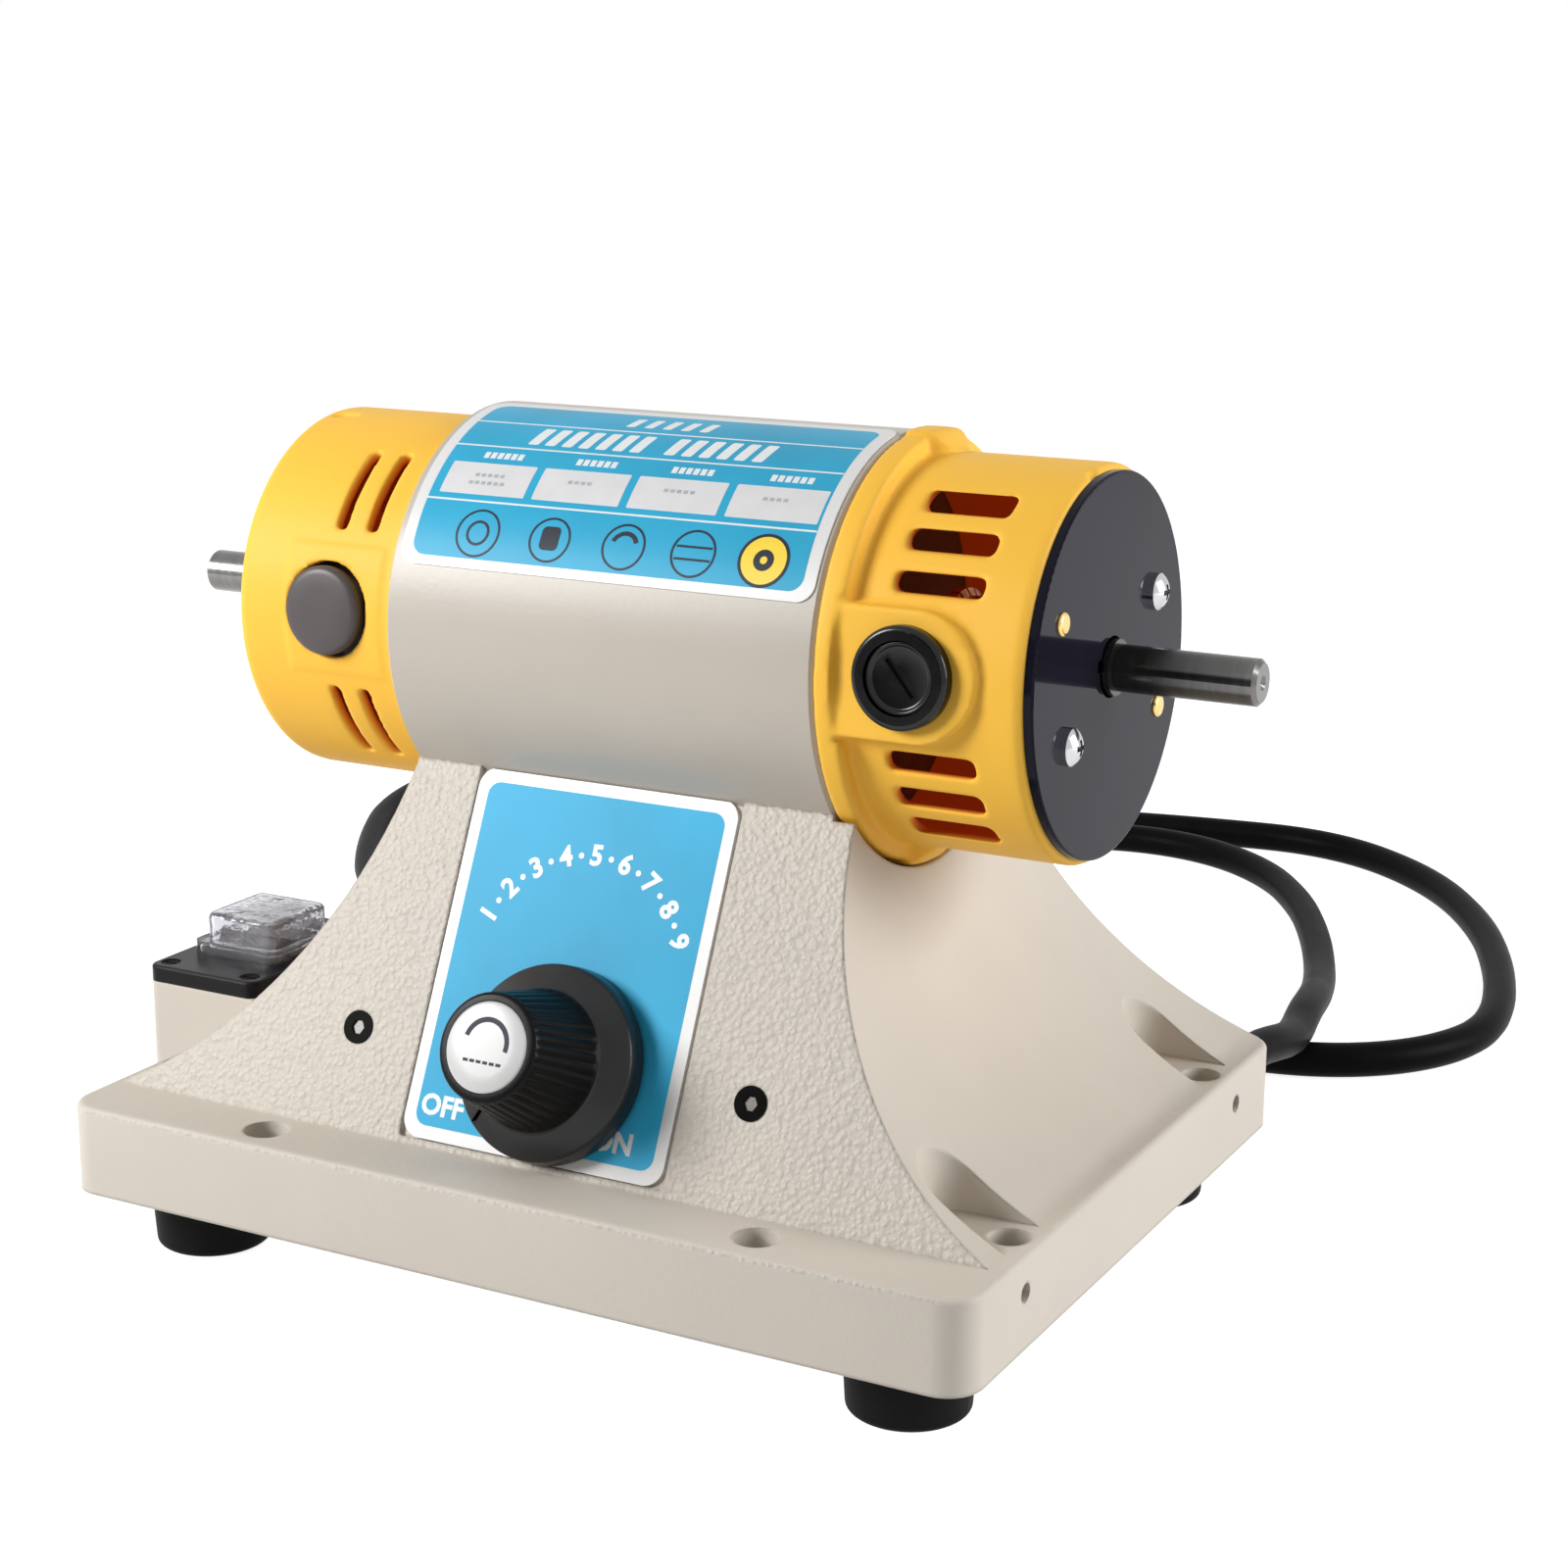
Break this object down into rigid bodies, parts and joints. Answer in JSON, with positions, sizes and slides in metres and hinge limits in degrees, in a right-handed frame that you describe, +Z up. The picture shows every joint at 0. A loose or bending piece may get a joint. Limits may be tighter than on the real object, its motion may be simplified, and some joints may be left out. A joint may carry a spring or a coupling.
{
  "type": "dental polishing lathe",
  "caption": "Bench polishing lathe: a motor with a shaft out at both ends on a cast pedestal with a speed knob, a covered mains switch and a cord.",
  "frame": {"origin": "on the table under the middle of the machine without its cord", "axes": "+X along the motor shaft to the right end with the black disc, -Y to the operator and the speed knob, +Z up"},
  "size_m": [0.4237, 0.4747, 0.1901],
  "materials": {
    "cast_grey": "cast aluminium in textured warm grey paint",
    "tube_grey": "smooth warm grey paint on steel",
    "yellow_plastic": "satin yellow",
    "black_plastic": "black moulding",
    "gloss_black": "polished black",
    "brown_black": "dark brown-grey",
    "white_plastic": "white",
    "rocker_red": "dark red",
    "clear_cover": "clear soft vinyl",
    "printed_plate": "blue print with a white border",
    "zinc_cover": "zinc plated",
    "black_steel": "black oxide",
    "ground_steel": "ground",
    "lamination": "stacked sheets",
    "copper_wire": "enamelled copper",
    "brass_pin": "bright brass",
    "insulation": "wound sleeve",
    "carbon": "carbon graphite",
    "board_green": "circuit board",
    "capacitor_blue": "sleeved can",
    "bare_aluminium": "extruded",
    "rubber_black": "black rubber"
  },
  "bodies": {
    "machine": {"base_casting": "cast_grey", "base_cover": "zinc_cover", "base_cover_screws": "zinc_cover", "rubber_feet": "rubber_black", "foot_screws": "zinc_cover", "saddle_bolts": "zinc_cover", "panel_plate": "printed_plate", "face_screws": "black_steel", "pot_body": "black_plastic", "pot_nut": "zinc_cover", "motor_tube": "tube_grey", "data_plate": "printed_plate", "left_end_cap": "yellow_plastic", "right_end_cap": "yellow_plastic", "cap_screws": "black_steel", "end_disc": "gloss_black", "disc_screws": "zinc_cover", "disc_pins": "brass_pin", "stator_core": "lamination", "field_coils": "copper_wire", "brush_holders": "black_plastic", "brush_caps": "black_plastic", "carbon_brushes": "carbon", "brush_springs": "black_steel", "bearing_outer_rings": "ground_steel", "lock_guide": "black_plastic", "switch_box": "cast_grey", "switch_lid": "black_plastic", "lid_screws": "black_steel", "switch_box_screws": "zinc_cover", "rocker_housing": "black_plastic", "switch_boot": "clear_cover", "speed_board": "board_green", "board_standoffs": "black_plastic", "board_screws": "zinc_cover", "board_capacitor": "capacitor_blue", "heat_sink": "bare_aluminium", "triac": "zinc_cover", "terminal_block": "black_plastic", "strain_relief": "rubber_black", "power_cord": "rubber_black", "mains_plug": "rubber_black", "plug_pins": "ground_steel"},
    "spindle": {"spindle_shaft": "ground_steel", "armature_core": "lamination", "armature_windings": "copper_wire", "winding_sleeve": "insulation", "commutator": "copper_wire", "cooling_fan": "black_plastic", "lock_collar": "ground_steel", "bearing_inner_rings": "ground_steel", "bearing_balls": "ground_steel"},
    "speed_control": {"speed_knob": "black_plastic", "knob_cap": "white_plastic", "pot_spindle": "zinc_cover"},
    "switch_rocker": {"rocker": "rocker_red"},
    "lock": {"lock_button": "brown_black", "lock_spring": "black_steel"}
  },
  "joints": [
    {"name": "spindle_spin", "type": "hinge", "parent": "machine", "child": "spindle", "pos_m": [0.00537, 0.00203, 0.1428], "axis": [1, 0, 0], "continuous": true},
    {"name": "speed_turn", "type": "hinge", "parent": "machine", "child": "speed_control", "pos_m": [0.00857, -0.06872, 0.06099], "axis": [0, 0.9066, -0.422], "range_deg": [0, 270]},
    {"name": "switch_rock", "type": "hinge", "parent": "machine", "child": "switch_rocker", "pos_m": [-0.12398, 0.00928, 0.0427], "axis": [1, 0, 0], "range_deg": [0, 20]},
    {"name": "lock_press", "type": "slide", "parent": "machine", "child": "lock", "axis": [0, 0.9976, -0.0698], "range_m": [0, 0.004], "stiffness_N_per_m": 400, "springref_m": -0.005}
  ]
}
